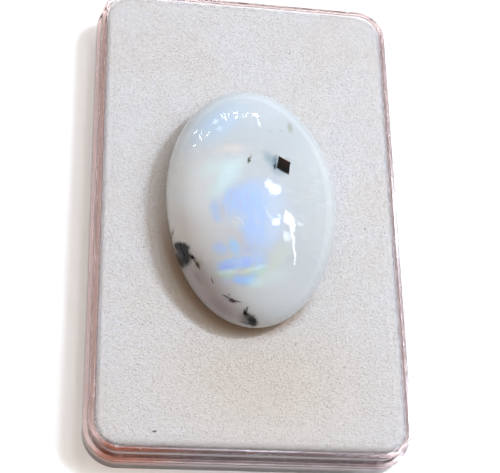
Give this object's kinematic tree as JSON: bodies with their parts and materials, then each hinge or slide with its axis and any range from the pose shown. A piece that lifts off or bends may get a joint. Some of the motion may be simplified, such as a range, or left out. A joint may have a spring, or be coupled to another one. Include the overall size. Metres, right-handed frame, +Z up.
{
  "type": "moonstone cabochon in a display tray",
  "caption": "Polished oval moonstone with a blue flash and black crystals, lying on the velvet pad of a shallow clear plastic tray.",
  "frame": {"origin": "middle of the tray's underside", "axes": "+Z up, +Y along the tray's long side, +X along its short side"},
  "size_m": [0.0534, 0.0862, 0.0193],
  "materials": {
    "clear_plastic": "clear injection-moulded polystyrene, glossy",
    "velvet": "short beige-grey pile brushed one way",
    "moonstone": "milky translucent feldspar with a blue flash and black crystals, polished"
  },
  "bodies": {
    "root": {"display_tray": "clear_plastic", "velvet_pad": "velvet", "moonstone": "moonstone"}
  },
  "joints": []
}
